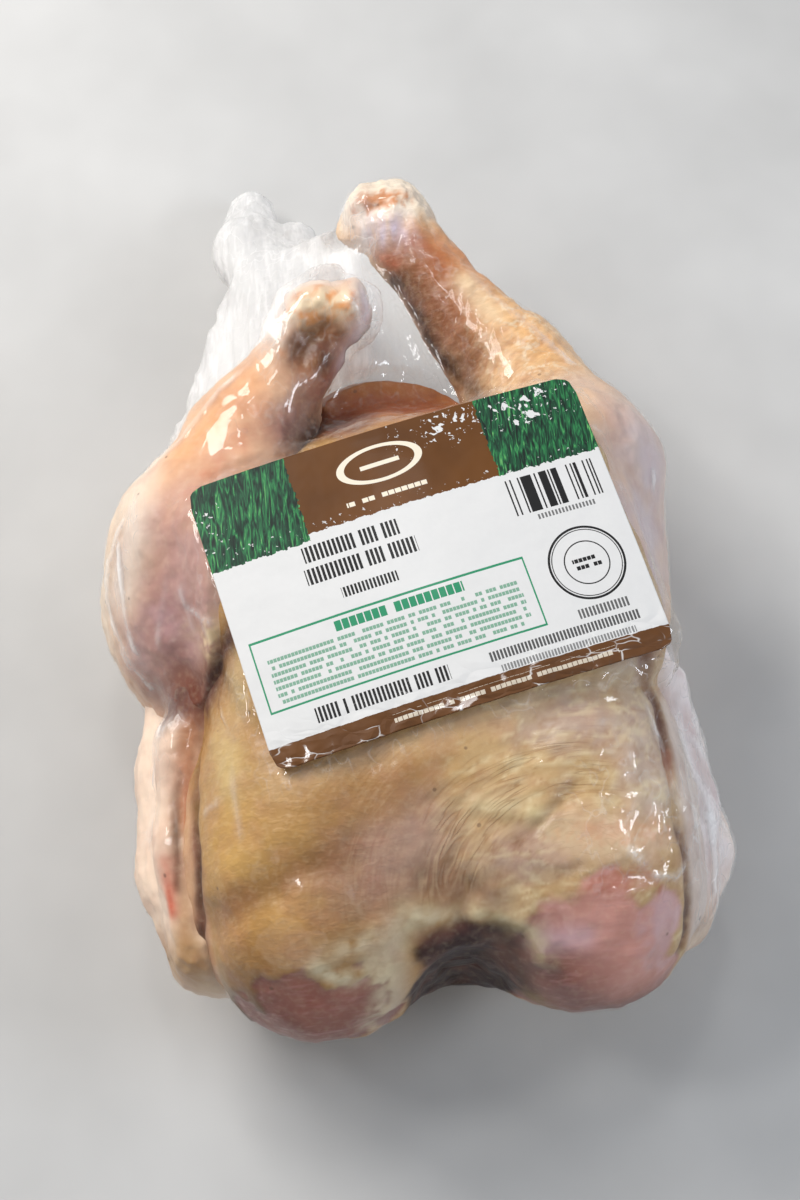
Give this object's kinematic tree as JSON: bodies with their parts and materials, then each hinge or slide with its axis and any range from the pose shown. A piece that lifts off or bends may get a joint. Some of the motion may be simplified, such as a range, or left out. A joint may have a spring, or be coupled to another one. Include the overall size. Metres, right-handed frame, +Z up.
{
  "type": "whole raw chicken in a sealed bag",
  "caption": "Oven-ready raw chicken lying on its back, sealed in a tight clear shrink bag with a gathered end, with a paper label on the breast.",
  "frame": {"origin": "centre of the pack's footprint, on the surface that it rests on", "axes": "+Z up out of the breast, +Y from the neck end to the legs, +X towards the bird's own right side"},
  "size_m": [0.162, 0.2676, 0.096],
  "materials": {
    "bagged_bird": "raw skin and flesh under clear glossy film",
    "label_paper": "coated paper under clear film"
  },
  "bodies": {
    "root": {"bagged_chicken": "bagged_bird", "label": "label_paper"}
  },
  "joints": []
}
